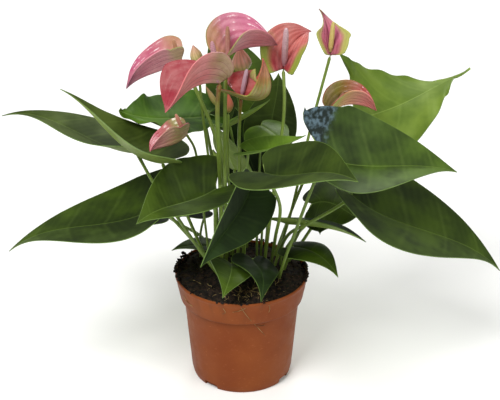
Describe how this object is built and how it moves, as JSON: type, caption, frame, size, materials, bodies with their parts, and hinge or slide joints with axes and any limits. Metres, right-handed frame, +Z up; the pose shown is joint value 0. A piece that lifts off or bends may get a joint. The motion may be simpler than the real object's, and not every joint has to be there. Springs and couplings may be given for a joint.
{
  "type": "potted flamingo flower",
  "caption": "House plant with heart-shaped leaves and waxy hooded flowers on tall stalks, growing in a round plastic nursery pot full of soil.",
  "frame": {"origin": "centre of the pot's flat underside", "axes": "+Z up; -Y is the plant's front, the side that faced the camera; +X to the viewer's right"},
  "size_m": [0.4526, 0.2886, 0.3493],
  "materials": {
    "leaf": "waxy, dark green",
    "peduncle": "smooth, light green",
    "spathe": "waxy, pink to coral",
    "spadix": "bumpy, dull mauve",
    "bud": "waxy, pink and green",
    "pot": "satin, terracotta brown",
    "soil": "crumbly, nearly black"
  },
  "bodies": {
    "root": {"bud_left": "bud", "bud_low": "bud", "bud_middle": "bud", "bud_slim": "bud", "leaf_back_middle": "leaf", "leaf_back_right": "leaf", "leaf_behind_stalks": "leaf", "leaf_centre": "leaf", "leaf_front": "leaf", "leaf_front_small_left": "leaf", "leaf_front_small_right": "leaf", "leaf_glossy": "leaf", "leaf_left_back": "leaf", "leaf_left_far": "leaf", "leaf_left_front": "leaf", "leaf_left_high": "leaf", "leaf_left_low": "leaf", "leaf_low_left": "leaf", "leaf_rear_left": "leaf", "leaf_rear_low": "leaf", "leaf_rear_right": "leaf", "leaf_right_big": "leaf", "leaf_right_front": "leaf", "leaf_right_high": "leaf", "leaf_right_inner": "leaf", "leaf_right_low": "leaf", "leaf_right_low_big": "leaf", "leaf_right_narrow": "leaf", "leaf_sliver": "leaf", "leaf_under_left": "leaf", "leaf_young": "leaf", "peduncle_front": "peduncle", "peduncle_left": "peduncle", "peduncle_low_left": "peduncle", "peduncle_low_right": "peduncle", "peduncle_middle": "peduncle", "peduncle_tall": "peduncle", "peduncle_top": "peduncle", "peduncle_upper_right": "peduncle", "pot": "pot", "soil": "soil", "spadix_front": "spadix", "spadix_left": "spadix", "spadix_low_left": "spadix", "spadix_low_right": "spadix", "spadix_middle": "spadix", "spadix_tall": "spadix", "spadix_top": "spadix", "spadix_upper_right": "spadix", "spathe_front": "spathe", "spathe_left": "spathe", "spathe_low_left": "spathe", "spathe_low_right": "spathe", "spathe_middle": "spathe", "spathe_tall": "spathe", "spathe_top": "spathe", "spathe_upper_right": "spathe"}
  },
  "joints": []
}
